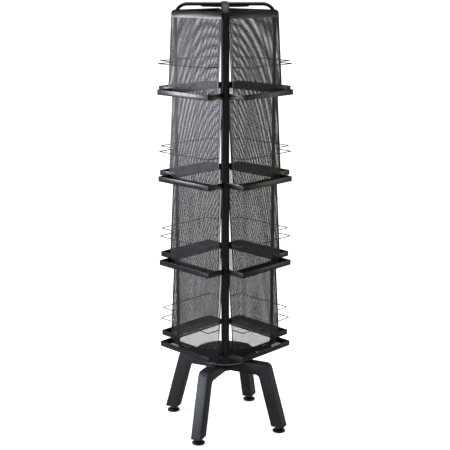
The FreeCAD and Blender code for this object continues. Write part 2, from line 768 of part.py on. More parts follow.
def glide_pad(number):
    """A round pad with a domed top and the socket that the stem turns in."""
    socket = "socket_wide / 2 + stem_fit"
    body = turned_ring("GlidePad", [
        ("0", "0"),
        ("pad_wide / 2 - 1", "0"),
        ("pad_wide / 2", "1"),
        ("pad_wide / 2", "pad_edge"),
        ("pad_wide * 0.36", "pad_edge + 3"),
        ("pad_neck", "pad_rise"),
        (socket, "pad_rise"),
        (socket, "pad_rise - socket_depth"),
        ("0", "pad_rise - socket_depth"),
    ])
    place = around(size("foot_circle"), leg_angle(number), 0)
    return keep(body, f"glide_pad_{LEG_SIDES[number]}", FreeCAD.Placement(place, FreeCAD.Rotation()))


def glide_stem(number):
    """The threaded stem: a plain end in the pad, a hexagon for the spanner and the rod in the leg."""
    place = around(size("foot_circle"), leg_angle(number), 0)
    foot = size("pad_rise - socket_depth")
    collar = size("pad_rise") + 0.3
    end = cylinder("StemEnd", "socket_wide / 2", "socket_depth + 2", place + UP * (foot + 0.05))
    nut = hexagon("StemHexagon", "stem_flats", "stem_collar", place + UP * collar)
    rod = cylinder("StemRod", "stem_wide / 2", f"stem_top - {collar}", place + UP * collar)
    return keep(joined("GlideStem", [end, nut, rod]), f"glide_stem_{LEG_SIDES[number]}")


# ---------------------------------------------------------------- build, check and write

frame_hoop()
frame_half_hoop("frame_half_hoop_left", 180.0 + CORNER)
frame_half_hoop("frame_half_hoop_right", CORNER)
top_joint_plate()
turntable_disc()
disc_screws()
for tier in range(1, TIERS + 1):
    for side in range(1, SIDES + 1):
        tray(tier, side)
        mesh_back(tier, side)
wire_rails()
upper_bearing_plate()
bearing_balls()
lower_bearing_plate()
hub_plate()
hub_bolts()
pivot()
for number in range(4):
    leg(number)
    glide_pad(number)
    glide_stem(number)

DOC.recompute()
for thing in DOC.Objects:
    for word in ("Invalid", "Error"):
        if word in thing.State:
            raise RuntimeError(f"{thing.Name} ({thing.Label}) failed: {thing.State}")

os.makedirs("parts", exist_ok=True)
for thing in parts:
    shape = thing.Shape
    if shape.isNull() or not shape.isValid():
        raise RuntimeError(f"{thing.Label} has no valid shape")
    box = shape.BoundBox
    print(f"{thing.Label}: {len(shape.Solids)} solids, {shape.Volume / 1000:.1f} cm3, "
          f"z {box.ZMin:.1f} to {box.ZMax:.1f}")
    shape.exportStep(f"parts/{thing.Label}.step")
print(f"{len(parts)} nodes")
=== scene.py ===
# %% [markdown]
# A rotating display rack: four tiers of mesh pockets on a tower of bent tube, turning on a ball bearing
# over four splayed legs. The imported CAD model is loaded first, as a fixed frame. Every piece made below
# takes its place from that frame and rides on one of its bodies, so the tower still turns and the glides
# still screw.

# %% Load the frame
import math

import bmesh
import bpy
from mathutils import Matrix, Vector


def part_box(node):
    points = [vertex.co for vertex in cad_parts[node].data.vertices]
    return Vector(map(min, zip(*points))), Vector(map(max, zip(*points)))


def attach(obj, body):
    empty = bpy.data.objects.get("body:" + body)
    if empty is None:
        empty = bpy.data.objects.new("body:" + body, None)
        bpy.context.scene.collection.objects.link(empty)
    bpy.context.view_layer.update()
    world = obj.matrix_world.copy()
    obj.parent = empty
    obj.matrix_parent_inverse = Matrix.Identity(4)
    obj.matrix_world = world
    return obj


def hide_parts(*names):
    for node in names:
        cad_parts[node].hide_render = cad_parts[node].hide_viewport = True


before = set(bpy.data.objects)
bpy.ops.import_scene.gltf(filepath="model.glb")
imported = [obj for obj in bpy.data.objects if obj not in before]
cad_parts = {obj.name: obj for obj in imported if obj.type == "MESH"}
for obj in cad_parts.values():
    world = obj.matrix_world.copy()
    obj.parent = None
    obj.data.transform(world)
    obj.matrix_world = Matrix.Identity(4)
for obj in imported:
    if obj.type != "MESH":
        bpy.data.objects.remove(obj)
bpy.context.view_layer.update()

MM = 0.001
TIERS = (1, 2, 3, 4)
SIDES = (1, 2, 3, 4)

# %% [markdown]
# Nodes are used for two things here: finishes and repeated geometry. One small helper adds a node of either
# kind, sets its properties and fills or links its inputs. Colours are written as the usual sRGB hex values,
# and Blender wants linear light, so one function converts them.

# %% Helpers for nodes and colours


def add_node(tree, kind, inputs=None, **settings):
    made = tree.nodes.new(kind)
    for name, value in settings.items():
        setattr(made, name, value)
    for key, value in (inputs or {}).items():
        socket = made.inputs[key]
        if isinstance(value, bpy.types.NodeSocket):
            tree.links.new(value, socket)
        else:
            socket.default_value = value
    return made


def linear(hex_code):
    channels = [int(hex_code[start:start + 2], 16) / 255 for start in (0, 2, 4)]
    return [c / 12.92 if c <= 0.04045 else ((c + 0.055) / 1.055) ** 2.4 for c in channels] + [1.0]


print("mid grey in linear light:", [round(c, 3) for c in linear("808080")[:3]])

# %% [markdown]
# Most of the rack is powder-coated steel. The coat is a baked plastic film: not metallic, IOR about 1.5,
# with a slight orange-peel waviness from the way the powder melts, and a gloss that drifts a little from
# place to place. Such waves are usually a millimetre or two long, and they are drawn at 3 mm so that they
# show. Noise bends the normal for the waves, and a much wider noise shifts the tone and the roughness.

# %% Powder-coated steel


def new_finish(name):
    material = bpy.data.materials.new(name)
    material.use_nodes = True
    material.node_tree.nodes.clear()
    tree = material.node_tree
    place = add_node(tree, "ShaderNodeTexCoord").outputs["Object"]
    return material, tree, place


def close_finish(tree, shader):
    add_node(tree, "ShaderNodeOutputMaterial", {"Surface": shader.outputs["BSDF"]})


def noise(tree, place, size_mm, detail=2.0):
    return add_node(tree, "ShaderNodeTexNoise",
                    {"Vector": place, "Scale": 1 / (size_mm * MM), "Detail": detail}).outputs["Fac"]


def between(tree, value, low, high):
    """Spreads a noise value, which keeps near the middle, over a range."""
    limits = {"From Min": 0.3, "From Max": 0.7, "To Min": low, "To Max": high}
    return add_node(tree, "ShaderNodeMapRange", {"Value": value, **limits}).outputs["Result"]


def blend_colours(tree, value, dark, light):
    return add_node(tree, "ShaderNodeMix", {0: value, 6: linear(dark), 7: linear(light)},
                    data_type="RGBA").outputs[2]


def coated_steel(name, dark, light, rough_low, rough_high, peel_mm=3.0, peel_depth_mm=0.05):
    material, tree, place = new_finish(name)
    drift = between(tree, noise(tree, place, 70.0), 0.0, 1.0)
    peel = noise(tree, place, peel_mm)
    bump = add_node(tree, "ShaderNodeBump",
                    {"Height": peel, "Strength": 0.35, "Distance": peel_depth_mm * MM})
    shader = add_node(tree, "ShaderNodeBsdfPrincipled", {
        "Base Color": blend_colours(tree, drift, dark, light),
        "Roughness": between(tree, noise(tree, place, 18.0), rough_low, rough_high),
        "IOR": 1.5,
        "Normal": bump.outputs["Normal"],
    })
    close_finish(tree, shader)
    return material


# The tower, tray and leg coats are one black powder coat in three tones, each matched to how bright that part
# looks: the tower copy is darkened as painted shade for the dark posts, and the lighter tray and leg copies
# are painted sheen for the lit tray walls and the lit legs.
POWDER_COAT = coated_steel("powder_coated_steel", "0d0d0f", "131315", 0.28, 0.36)
TRAY_COAT_PAINTED_SHEEN = coated_steel("tray_coat_painted_sheen", "151517", "1b1b1e", 0.24, 0.32)
MESH_COAT = coated_steel("powder_coated_steel_mesh", "1f1b1d", "272325", 0.42, 0.52, 1.5, 0.03)
WIRE_COAT = coated_steel("powder_coated_wire", "0b0b0c", "0f0f10", 0.40, 0.48, 2.0, 0.03)
LEG_COAT_PAINTED_SHEEN = coated_steel("leg_coat_painted_sheen", "29292b", "303033", 0.30, 0.38)
print("coats:", [m.name for m in (POWDER_COAT, TRAY_COAT_PAINTED_SHEEN, MESH_COAT, WIRE_COAT, LEG_COAT_PAINTED_SHEEN)])

# %% [markdown]
# The fasteners and the bearing plates are zinc-plated steel: metallic, slightly blue, with a soft cloudy
# spangle and fine drawing marks. The balls are polished steel. The glide pads are moulded black plastic
# with a fine spark-eroded grain, and the pivot washer is natural nylon.

# %% Plated, polished and moulded finishes


def plated_steel(name, dark, light, rough_low, rough_high, cloud_mm):
    material, tree, place = new_finish(name)
    cloud = between(tree, noise(tree, place, cloud_mm, 3.0), 0.0, 1.0)
    marks = add_node(tree, "ShaderNodeMapping",
                     {"Vector": place, "Scale": (1.0, 1.0, 12.0)}).outputs["Vector"]
    bump = add_node(tree, "ShaderNodeBump",
                    {"Height": noise(tree, marks, 2.0), "Strength": 0.2, "Distance": 0.02 * MM})
    shader = add_node(tree, "ShaderNodeBsdfPrincipled", {
        "Base Color": blend_colours(tree, cloud, dark, light),
        "Metallic": 1.0,
        "Roughness": between(tree, cloud, rough_low, rough_high),
        "Normal": bump.outputs["Normal"],
    })
    close_finish(tree, shader)
    return material


def moulded_plastic(name, dark, light, roughness, grain_mm, ior):
    material, tree, place = new_finish(name)
    drift = between(tree, noise(tree, place, 12.0), 0.0, 1.0)
    bump = add_node(tree, "ShaderNodeBump",
                    {"Height": noise(tree, place, grain_mm), "Strength": 0.3, "Distance": 0.04 * MM})
    shader = add_node(tree, "ShaderNodeBsdfPrincipled", {
        "Base Color": blend_colours(tree, drift, dark, light),
        "Roughness": between(tree, noise(tree, place, 5.0), roughness - 0.05, roughness + 0.05),
        "IOR": ior,
        "Normal": bump.outputs["Normal"],
    })
    close_finish(tree, shader)
    return material


ZINC = plated_steel("zinc_plated_steel", "b9bcc2", "d3d6da", 0.22, 0.36, 6.0)
BALL_STEEL = plated_steel("polished_bearing_steel", "c8c9cc", "dadbdd", 0.08, 0.14, 4.0)
GLIDE_PLASTIC = moulded_plastic("moulded_polypropylene", "131314", "1a1a1b", 0.42, 0.9, 1.49)
NYLON = moulded_plastic("moulded_nylon", "cdc9bd", "dbd8cd", 0.45, 1.2, 1.53)
print("finishes:", len(bpy.data.materials))

# %% [markdown]
# Three ways of making a plain solid cover most of the rack. A turned part is a half section spun round the
# axis, and a ring of it can be given as a hexagon, for a bolt head or a socket. A prism is a flat outline
# pushed out to a depth, for folded sheet. A swept tube carries a section along a flat path. Each one is a
# closed shell, and its normals are recalculated so that every face points outwards.

# %% Solid builders


def turned(rings, centre=(0.0, 0.0, 0.0), segments=48):
    """Spins a half section: a ring is (radius, height), or (across flats / 2, height, True) for a hexagon."""
    shape = bmesh.new()
    loops = []
    for ring in rings:
        radius, height = ring[0], ring[1]
        hexagonal = len(ring) > 2
        if radius == 0:
            loops.append([shape.verts.new((centre[0], centre[1], centre[2] + height * MM))])
            continue
        loop = []
        for step in range(segments):
            angle = 2 * math.pi * step / segments
            reach = radius * MM
            if hexagonal:
                reach /= math.cos((angle + math.pi / 6) % (math.pi / 3) - math.pi / 6)
            loop.append(shape.verts.new((centre[0] + reach * math.cos(angle),
                                         centre[1] + reach * math.sin(angle),
                                         centre[2] + height * MM)))
        loops.append(loop)
    closed = loops if len(loops[0]) == 1 else loops + [loops[0]]
    for lower, upper in zip(closed, closed[1:]):
        for step in range(segments):
            after = (step + 1) % segments
            corners = [lower[step % len(lower)], lower[after % len(lower)], upper[after % len(upper)],
                       upper[step % len(upper)]]
            corners = list(dict.fromkeys(corners))
            if len(corners) > 2:
                shape.faces.new(corners)
    bmesh.ops.recalc_face_normals(shape, faces=shape.faces)
    return shape


def prism(outline, depth, place=Matrix()):
    """Pushes a flat outline, in millimetres, out by half the depth both ways along its own Z."""
    shape = bmesh.new()
    ends = []
    for height in (-depth / 2, depth / 2):
        ends.append([shape.verts.new(place @ Vector((x * MM, y * MM, height * MM))) for x, y in outline])
    shape.faces.new(reversed(ends[0]))
    shape.faces.new(ends[1])
    count = len(outline)
    for step in range(count):
        after = (step + 1) % count
        shape.faces.new((ends[0][step], ends[0][after], ends[1][after], ends[1][step]))
    bmesh.ops.recalc_face_normals(shape, faces=shape.faces)
    return shape


def swept_tube(path, across, sections, place=Matrix()):
    """Carries a hollow section, given as (outer, inner) outlines, along a flat path."""
    shape = bmesh.new()
    shells = []
    for outline in sections:
        loops = []
        for number, point in enumerate(path):
            before = path[max(number - 1, 0)]
            after = path[min(number + 1, len(path) - 1)]
            along = (after - before).normalized()
            inwards = across.cross(along)
            loops.append([shape.verts.new(place @ (point + across * (u * MM) + inwards * (v * MM)))
                          for u, v in outline])
        shells.append(loops)
    count = len(sections[0])
    for loops in shells:
        for lower, upper in zip(loops, loops[1:]):
            for step in range(count):
                after = (step + 1) % count
                shape.faces.new((lower[step], lower[after], upper[after], upper[step]))
    for end in (0, -1):
        for step in range(count):
            after = (step + 1) % count
            shape.faces.new((shells[0][end][step], shells[0][end][after], shells[1][end][after],
                             shells[1][end][step]))
    bmesh.ops.recalc_face_normals(shape, faces=shape.faces)
    return shape


print("builders ready: turned, prism, swept_tube")

# %% [markdown]
# Finishing a piece is the same for all of them: join its shells into one mesh, round the sharp edges a
# little with a bevel as folding and blasting do, mark what is still sharp, give it its finish, and hand it
# to the frame with its body and the CAD node that it stands for.

# %% Finishing a piece
SHARP = math.radians(35)


def merged(shapes, name):
    mesh = bpy.data.meshes.new(name)
    whole = bmesh.new()
    for shape in shapes:
        part = bpy.data.meshes.new("part")
        shape.to_mesh(part)
        shape.free()
        whole.from_mesh(part)
        bpy.data.meshes.remove(part)
    whole.to_mesh(mesh)
    whole.free()
    return mesh


def settle(holder):
    """The evaluated shape of an object, as a plain mesh."""
    graph = bpy.context.evaluated_depsgraph_get()
    return bpy.data.meshes.new_from_object(holder.evaluated_get(graph), depsgraph=graph)


def rounded(mesh, width_mm, segments=2):
    """The mesh with its sharp edges rounded."""
    holder = bpy.data.objects.new("holder", mesh)
    bpy.context.scene.collection.objects.link(holder)
    bevel = holder.modifiers.new("Bevel", "BEVEL")
    bevel.width = width_mm * MM
    bevel.segments = segments
    bevel.limit_method = "ANGLE"
    bevel.angle_limit = SHARP
    bevel.use_clamp_overlap = True
    result = settle(holder)
    result.name = mesh.name
    bpy.data.objects.remove(holder)
    return result


def hand_over(name, mesh, finish, body, nodes=()):
    mesh.materials.clear()
    mesh.materials.append(finish)
    mesh.polygons.foreach_set("material_index", [0] * len(mesh.polygons))
    mesh.shade_smooth()
    mesh.set_sharp_from_angle(angle=SHARP)
    piece = bpy.data.objects.new(name, mesh)
    bpy.context.scene.collection.objects.link(piece)
    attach(piece, body)
    if nodes:
        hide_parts(*nodes)
    print(f"{name}: {sum(len(p.vertices) - 2 for p in mesh.polygons)} triangles on {body}")
    return piece


def side_turn(side):
    return Matrix.Rotation(math.radians(90 * (side - 1)), 4, "Z")


print("a piece is finished with rounded() and hand_over()")

# %% [markdown]
# The tower's frame is two hoops of flat-oval tube, 28 mm by 13 mm, crossing at the top. One hoop is whole,
# and the other is two halves that butt against its sides. The path of each is straight runs with round
# bends, laid in a plane through two corners of the tower, and the wide side of the tube faces out of the
# corner. Sweeping a hollow section along the path gives the open tube ends at the foot as well.

# %% The hoops
TUBE_WIDE = 28.0
TUBE_THICK = 13.0
TUBE_WALL = 1.5
POST_RADIUS = 186.0
FOOT_BEND = 38.0
TOP_BEND = 45.0
ARM_INNER = 24.0
BEND_STEPS = 14
hoop_low, hoop_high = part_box("frame_hoop")
ARM_Z = hoop_low[2] / MM + TUBE_THICK / 2
TOP_Z = hoop_high[2] / MM - TUBE_THICK / 2


def bent_path(corners, bends):
    """Runs of a flat path with round bends: corners are (distance from the axis, height), in millimetres."""
    points = [Vector((x * MM, 0, z * MM)) for x, z in corners]
    path = [points[0]]
    for number, bend in enumerate(bends, start=1):
        corner = points[number]
        back = (points[number - 1] - corner).normalized()
        ahead = (points[number + 1] - corner).normalized()
        centre = corner + (back + ahead) * (bend * MM)
        for step in range(BEND_STEPS + 1):
            angle = step / BEND_STEPS * math.pi / 2
            path.append(centre - ahead * (bend * MM * math.cos(angle)) - back * (bend * MM * math.sin(angle)))
    path.append(points[-1])
    return path


def flat_oval(wide, thick, steps=8):
    outline = []
    radius = thick / 2
    for centre, start in (((wide - thick) / 2, -90), (-(wide - thick) / 2, 90)):
        for step in range(steps + 1):
            angle = math.radians(start + 180 * step / steps)
            outline.append((centre + radius * math.cos(angle), radius * math.sin(angle)))
    return outline


HOOP_SECTIONS = (flat_oval(TUBE_WIDE, TUBE_THICK),
                 flat_oval(TUBE_WIDE - 2 * TUBE_WALL, TUBE_THICK - 2 * TUBE_WALL))
SIDEWAYS = Vector((0, 1, 0))
whole_path = bent_path(
    [(ARM_INNER, ARM_Z), (POST_RADIUS, ARM_Z), (POST_RADIUS, TOP_Z), (-POST_RADIUS, TOP_Z),
     (-POST_RADIUS, ARM_Z), (-ARM_INNER, ARM_Z)], (FOOT_BEND, TOP_BEND, TOP_BEND, FOOT_BEND))
half_path = bent_path(
    [(ARM_INNER, ARM_Z), (POST_RADIUS, ARM_Z), (POST_RADIUS, TOP_Z), (TUBE_WIDE / 2, TOP_Z)],
    (FOOT_BEND, TOP_BEND))
for node, path, degrees in (("frame_hoop", whole_path, -45), ("frame_half_hoop_left", half_path, 225),
                            ("frame_half_hoop_right", half_path, 45)):
    turn = Matrix.Rotation(math.radians(degrees), 4, "Z")
    hoop = merged([swept_tube(path, SIDEWAYS, HOOP_SECTIONS, turn)], node + "_tube")
    hand_over(node + "_tube", hoop, POWDER_COAT, "tower", [node])

# %% [markdown]
# The round plate under the crossing and the turntable disc are plain turned parts. The disc is pressed from
# 3 mm sheet, so its rim turns down through a radius.

# %% Joint plate and turntable disc
PLATE_SHEET = 3.0
PLATE_EDGE = 90.0
BOLT_HOLE = 6.05
plate_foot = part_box("top_joint_plate")[0][2]
joint_plate = turned([(0, 0), (PLATE_EDGE - 1.0, 0), (PLATE_EDGE, 0.8), (PLATE_EDGE, PLATE_SHEET - 0.8),
                      (PLATE_EDGE - 1.0, PLATE_SHEET), (0, PLATE_SHEET)], (0, 0, plate_foot), 96)
hand_over("top_joint_plate_turned", merged([joint_plate], "top_joint_plate_turned"), POWDER_COAT,
          "tower", ["top_joint_plate"])

disc_low, disc_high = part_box("turntable_disc")
DISC_EDGE = (disc_high[0] - disc_low[0]) / 2 / MM
DISC_DEPTH = (disc_high[2] - disc_low[2]) / MM


def quarter(centre_r, centre_z, radius, start, end, steps=6):
    """Points on an arc of a half section."""
    return [(centre_r + radius * math.cos(math.radians(start + (end - start) * step / steps)),
             centre_z + radius * math.sin(math.radians(start + (end - start) * step / steps)))
            for step in range(steps + 1)]


disc_section = [(BOLT_HOLE, DISC_DEPTH - PLATE_SHEET)]
disc_section += quarter(DISC_EDGE - 5.0, DISC_DEPTH - 5.0, 2.0, 90, 0)
disc_section += [(DISC_EDGE - 3.0, 0.6), (DISC_EDGE - 2.4, 0.0), (DISC_EDGE - 0.6, 0.0), (DISC_EDGE, 0.6)]
disc_section += quarter(DISC_EDGE - 5.0, DISC_DEPTH - 5.0, 5.0, 0, 90)
disc_section += [(BOLT_HOLE, DISC_DEPTH)]
disc = turned(disc_section, (0, 0, disc_low[2]), 128)
hand_over("turntable_disc_pressed", merged([disc], "turntable_disc_pressed"), POWDER_COAT,
          "tower", ["turntable_disc"])

# %% [markdown]
# Each pocket stands on a shallow tray folded from sheet: a front wall, two side walls and a low rear rib,
# each with a hem folded over at its top and a narrow flange under the mesh floor. The corners aren't
# welded, so a thin dark slot shows where the front wall meets each side wall. The section of a wall is
# drawn once, as a prism lying along the wall, and four of them make a tray.

# %% The trays
tray_low, tray_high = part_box("tray_tier1_side1")
TRAY_FRONT = tray_high[0] / MM
TRAY_HALF = tray_high[1] / MM
LIP_REAR = tray_low[0] / MM
LIP_HEIGHT = (tray_high[2] - tray_low[2]) / MM
REAR_WALL = 5.0
REAR_FACE = 145.0
SHEET = 1.3
HEM = 4.5
FLANGE = 9.0
CORNER_SLOT = 2.2
UPRIGHT = Matrix(((1, 0, 0, 0), (0, 0, -1, 0), (0, 1, 0, 0), (0, 0, 0, 1)))


def wall_section(height):
    """A wall seen from its end: outer face at 0, inside towards negative, with a hem and a floor flange."""
    hem_foot = height - min(HEM, height / 3)
    return [(0, 0), (0, height), (-2 * SHEET, height), (-2 * SHEET, hem_foot), (-SHEET, hem_foot),
            (-SHEET, SHEET), (-FLANGE, SHEET), (-FLANGE, 0)]


def wall(height, length, outer, middle, degrees):
    """A wall whose outer face is that far out, facing that many degrees round from the tray's front."""
    turn = Matrix.Rotation(math.radians(degrees), 4, "Z")
    place = Matrix.Translation(Vector(middle) * MM) @ turn @ Matrix.Translation((outer * MM, 0, 0)) @ UPRIGHT
    return prism(wall_section(height), length, place)


side_length = TRAY_FRONT - SHEET - CORNER_SLOT - LIP_REAR
side_middle = LIP_REAR + side_length / 2
tray_mesh = merged([
    wall(LIP_HEIGHT, 2 * TRAY_HALF, 0, (TRAY_FRONT, 0, 0), 0),
    wall(LIP_HEIGHT, side_length, TRAY_HALF, (side_middle, 0, 0), 90),
    wall(LIP_HEIGHT, side_length, TRAY_HALF, (side_middle, 0, 0), -90),
    wall(REAR_WALL, 2 * (TRAY_HALF - SHEET), 0, (REAR_FACE, 0, 0), 180),
], "tray")
tray_mesh = rounded(tray_mesh, 0.35)
for tier in TIERS:
    for side in SIDES:
        node = f"tray_tier{tier}_side{side}"
        own = tray_mesh.copy()
        low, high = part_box(node)
        own.transform(Matrix.Translation((0, 0, low[2])) @ side_turn(side))
        hand_over(node + "_folded", own, TRAY_COAT_PAINTED_SHEEN, "tower", [node])

# %% [markdown]
# In each tray stands a leaning mesh back: a flat steel hem round the edge, 4 mm wide, with mesh welded
# inside it. The highest ones have a wide solid band along the top with well-rounded corners. The hem is a
# flat curve with an outer and an inner outline, filled and given a thickness, which leaves a clean hole in
# the middle.

# %% Hems of the mesh backs
HEM_WIDE = 4.0
HEM_THICK = 2.0
TOP_BAND = 26.0
TOP_CORNER = 13.0
MESH_TOP = 151.0


def rounded_box(left, bottom, right, top, radii, steps=6):
    """Outline of a rectangle with a radius for each corner, from bottom left, anticlockwise."""
    outline = []
    for (x, y), (sx, sy), start, radius in (((left, bottom), (1, 1), 180, radii[0]),
                                            ((right, bottom), (-1, 1), 270, radii[1]),
                                            ((right, top), (-1, -1), 0, radii[2]),
                                            ((left, top), (1, -1), 90, radii[3])):
        for step in range(steps + 1):
            angle = math.radians(start + 90 * step / steps)
            outline.append((x + sx * radius + radius * math.cos(angle),
                            y + sy * radius + radius * math.sin(angle)))
    return outline


def flat_ring(name, outlines, thickness):
    """A flat sheet between outlines, as a closed mesh lying about its own XY plane."""
    curve = bpy.data.curves.new(name, "CURVE")
    curve.dimensions = "2D"
    curve.fill_mode = "BOTH"
    curve.extrude = thickness / 2 * MM
    for outline in outlines:
        spline = curve.splines.new("POLY")
        spline.points.add(len(outline) - 1)
        for point, (x, y) in zip(spline.points, outline):
            point.co = (x * MM, y * MM, 0, 1)
        spline.use_cyclic_u = True
    holder = bpy.data.objects.new(name, curve)
    bpy.context.scene.collection.objects.link(holder)
    mesh = settle(holder)
    bpy.data.objects.remove(holder)
    shape = bmesh.new()
    shape.from_mesh(mesh)
    bmesh.ops.remove_doubles(shape, verts=shape.verts, dist=0.01 * MM)
    bmesh.ops.recalc_face_normals(shape, faces=shape.faces)
    shape.to_mesh(mesh)
    shape.free()
    return mesh


def lean_of(tier):
    """Foot point, length and lean of a tier's mesh backs, from their CAD box."""
    low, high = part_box(f"mesh_back_tier{tier}_side1")
    foot = Vector((high[0] / MM - HEM_THICK / 2, 0, low[2] / MM))
    head_out = MESH_TOP - HEM_THICK / 2
    rise = high[2] / MM - foot.z
    return foot, math.hypot(rise, foot.x - head_out), math.atan2(foot.x - head_out, rise)


MESH_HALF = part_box("mesh_back_tier1_side1")[1][1] / MM
for tier in TIERS:
    foot, length, lean = lean_of(tier)
    band = TOP_BAND if tier == 1 else HEM_WIDE
    corner = TOP_CORNER if tier == 1 else 3.0
    ring = flat_ring(f"hem{tier}", [
        rounded_box(-MESH_HALF, 0, MESH_HALF, length, (3.0, 3.0, corner, corner)),
        rounded_box(-MESH_HALF + HEM_WIDE, HEM_WIDE, MESH_HALF - HEM_WIDE, length - band, (2.0,) * 4),
    ], HEM_THICK)
    ring = rounded(ring, 0.4)
    stand = (Matrix.Translation(foot * MM) @ Matrix.Rotation(math.radians(90), 4, "Z")
             @ Matrix.Rotation(math.radians(90) - lean, 4, "X"))
    for side in SIDES:
        node = f"mesh_back_tier{tier}_side{side}"
        own = ring.copy()
        own.transform(side_turn(side) @ stand)
        hand_over(node + "_hem", own, POWDER_COAT, "tower", [node])

# %% [markdown]
# The mesh itself is hundreds of thin strands crossing at 45 degrees, which is work for Geometry Nodes. The
# tree lays one family of parallel strands over a rectangle: strand number i runs along y = x + c, and its
# ends are where that line enters and leaves the rectangle. A second family is the mirror image. Sweeping a
# small flat section along them gives real holes, so light and the far side show through as they do on the
# real thing. The sheet is then tilted, set down at its foot, stepped up the tiers and turned to all four
# sides.

# %% A tree for the mesh


def new_tree(name, sockets):
    tree = bpy.data.node_groups.new(name, "GeometryNodeTree")
    tree.interface.new_socket("Geometry", in_out="INPUT", socket_type="NodeSocketGeometry")
    for label, kind in sockets:
        tree.interface.new_socket(label, in_out="INPUT", socket_type=kind)
    tree.interface.new_socket("Geometry", in_out="OUTPUT", socket_type="NodeSocketGeometry")
    given = add_node(tree, "NodeGroupInput").outputs
    return tree, given


def compute(tree, operation, *values):
    inputs = dict(enumerate(values))
    return add_node(tree, "ShaderNodeMath", inputs, operation=operation).outputs[0]


def close_tree(tree, geometry, given):
    real = add_node(tree, "GeometryNodeRealizeInstances", {"Geometry": geometry}).outputs[0]
    dressed = add_node(tree, "GeometryNodeSetMaterial",
                       {"Geometry": real, "Material": given["Finish"]}).outputs[0]
    add_node(tree, "NodeGroupOutput", {"Geometry": dressed})


def spread(tree, geometry, given):
    """Repeats a piece up the tiers and round the four sides."""
    step = add_node(tree, "ShaderNodeCombineXYZ", {"Z": given["Level step"]}).outputs[0]
    levels = add_node(tree, "GeometryNodeMeshLine", {"Count": given["Levels"], "Offset": step}).outputs[0]
    column = add_node(tree, "GeometryNodeInstanceOnPoints",
                      {"Points": levels, "Instance": geometry}).outputs[0]
    places = add_node(tree, "GeometryNodeMeshLine", {"Count": 4, "Offset": (0, 0, 0)}).outputs[0]
    index = add_node(tree, "GeometryNodeInputIndex").outputs[0]
    angle = compute(tree, "MULTIPLY", index, math.pi / 2)
    turn = add_node(tree, "ShaderNodeCombineXYZ", {"Z": angle}).outputs[0]
    return add_node(tree, "GeometryNodeInstanceOnPoints",
                    {"Points": places, "Instance": column, "Rotation": turn}).outputs[0]


LEVEL_SOCKETS = [("Levels", "NodeSocketInt"), ("Level step", "NodeSocketFloat"),
                 ("Finish", "NodeSocketMaterial")]
mesh_tree, given = new_tree("mesh_sheet", [
    ("Width", "NodeSocketFloat"), ("Length", "NodeSocketFloat"), ("Pitch", "NodeSocketFloat"),
    ("Strand width", "NodeSocketFloat"), ("Strand thickness", "NodeSocketFloat"),
    ("Foot radius", "NodeSocketFloat"), ("Foot height", "NodeSocketFloat"), ("Tilt", "NodeSocketFloat"),
] + LEVEL_SOCKETS)
half_width = compute(mesh_tree, "MULTIPLY", given["Width"], 0.5)
step = compute(mesh_tree, "MULTIPLY", given["Pitch"], math.sqrt(2))
span = compute(mesh_tree, "ADD", given["Width"], given["Length"])
strands = compute(mesh_tree, "FLOOR", compute(mesh_tree, "DIVIDE", span, step))
points = add_node(mesh_tree, "GeometryNodeMeshLine",
                  {"Count": compute(mesh_tree, "MULTIPLY", strands, 2.0), "Offset": (0, 0, 0)}).outputs[0]
index = add_node(mesh_tree, "GeometryNodeInputIndex").outputs[0]
end = compute(mesh_tree, "MODULO", index, 2.0)
single = add_node(mesh_tree, "GeometryNodeDeleteGeometry", {"Geometry": points, "Selection": end},
                  domain="EDGE", mode="EDGE_FACE").outputs[0]
number = compute(mesh_tree, "ADD", compute(mesh_tree, "FLOOR", compute(mesh_tree, "DIVIDE", index, 2.0)), 0.5)
offset = compute(mesh_tree, "SUBTRACT", compute(mesh_tree, "MULTIPLY", number, step), half_width)
first = compute(mesh_tree, "MAXIMUM", compute(mesh_tree, "MULTIPLY", half_width, -1.0),
                compute(mesh_tree, "MULTIPLY", offset, -1.0))
last = compute(mesh_tree, "MINIMUM", half_width, compute(mesh_tree, "SUBTRACT", given["Length"], offset))
across = compute(mesh_tree, "ADD", first,
                 compute(mesh_tree, "MULTIPLY", end, compute(mesh_tree, "SUBTRACT", last, first)))
up = compute(mesh_tree, "ADD", across, offset)
section = add_node(mesh_tree, "GeometryNodeCurvePrimitiveQuadrilateral",
                   {"Width": given["Strand width"], "Height": given["Strand thickness"]}).outputs[0]
families = []
for sign in (1.0, -1.0):
    spot = add_node(mesh_tree, "ShaderNodeCombineXYZ",
                    {"X": compute(mesh_tree, "MULTIPLY", across, sign), "Y": up}).outputs[0]
    lines = add_node(mesh_tree, "GeometryNodeSetPosition", {"Geometry": single, "Position": spot}).outputs[0]
    curves = add_node(mesh_tree, "GeometryNodeMeshToCurve", {"Mesh": lines}).outputs[0]
    families.append(add_node(mesh_tree, "GeometryNodeCurveToMesh",
                             {"Curve": curves, "Profile Curve": section, "Fill Caps": True}).outputs[0])
both = add_node(mesh_tree, "GeometryNodeJoinGeometry")
for family in families:
    mesh_tree.links.new(family, both.inputs[0])
tilt = add_node(mesh_tree, "ShaderNodeCombineXYZ", {"X": given["Tilt"], "Z": math.pi / 2}).outputs[0]
foot_place = add_node(mesh_tree, "ShaderNodeCombineXYZ",
                      {"X": given["Foot radius"], "Z": given["Foot height"]}).outputs[0]
stood = add_node(mesh_tree, "GeometryNodeTransform",
                 {"Geometry": both.outputs[0], "Translation": foot_place, "Rotation": tilt}).outputs[0]
close_tree(mesh_tree, spread(mesh_tree, stood, given), given)
print("mesh tree nodes:", len(mesh_tree.nodes))

# %% Grow a tree into a plain mesh


